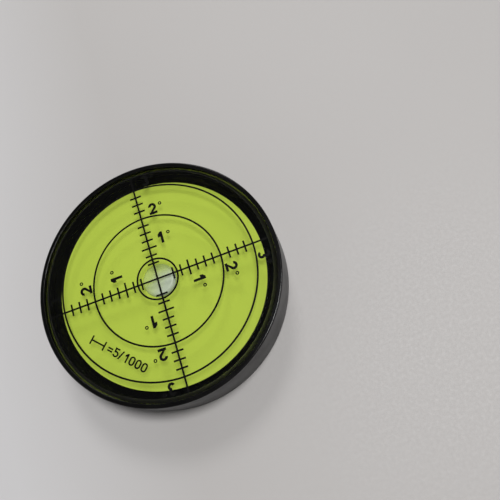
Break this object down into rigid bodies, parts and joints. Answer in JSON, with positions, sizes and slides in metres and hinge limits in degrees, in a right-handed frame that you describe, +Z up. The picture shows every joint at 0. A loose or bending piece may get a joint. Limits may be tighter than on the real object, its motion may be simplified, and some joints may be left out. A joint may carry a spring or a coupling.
{
  "type": "circular bubble level",
  "caption": "Round black bubble level: a clear sealed vial with yellow-green fluid, a free bubble and a printed degree dial, set in a shallow cup with a flat ring foot.",
  "frame": {"origin": "Centre of the ring foot, on the plane the level stands on.", "axes": "+Z is up through the dial, +Y points to the top of the dial so that its upper numerals read upright, and +X points right along the dial."},
  "size_m": [0.06, 0.06, 0.012],
  "materials": {
    "housing_black": "satin to gloss black moulding",
    "pad_foam": "double-sided adhesive pad",
    "base_white": "matt pale moulding under dyed fluid",
    "seal_rubber": "soft black rubber",
    "clear_acrylic": "polished clear acrylic",
    "dyed_spirit": "clear yellow-green liquid",
    "air": "air bubble",
    "ink_black": "printed black ink"
  },
  "bodies": {
    "level": {"housing": "housing_black", "adhesive_pad": "pad_foam", "base_disc": "base_white", "base_seal": "seal_rubber", "filler_plug": "base_white", "vial_cap": "clear_acrylic", "centre_ring": "ink_black", "middle_ring": "ink_black", "outer_ring": "ink_black", "crosshair_lines": "ink_black", "division_ticks": "ink_black", "degree_numerals": "ink_black", "degree_marks": "ink_black", "division_legend": "ink_black"},
    "fluid": {"fluid": "dyed_spirit"},
    "bubble": {"bubble": "air"}
  },
  "joints": [
    {"name": "fluid_swirl", "type": "hinge", "parent": "level", "child": "fluid", "pos_m": [0, 0, 0.009], "axis": [0, 0, 1], "continuous": true},
    {"name": "bubble_run", "type": "hinge", "parent": "fluid", "child": "bubble", "pos_m": [0, 0, -0.45224], "axis": [0, 1, 0], "range_deg": [-2.67, 2.67], "stiffness_Nm_per_rad": 0.00147, "deforming": ["fluid"]}
  ]
}
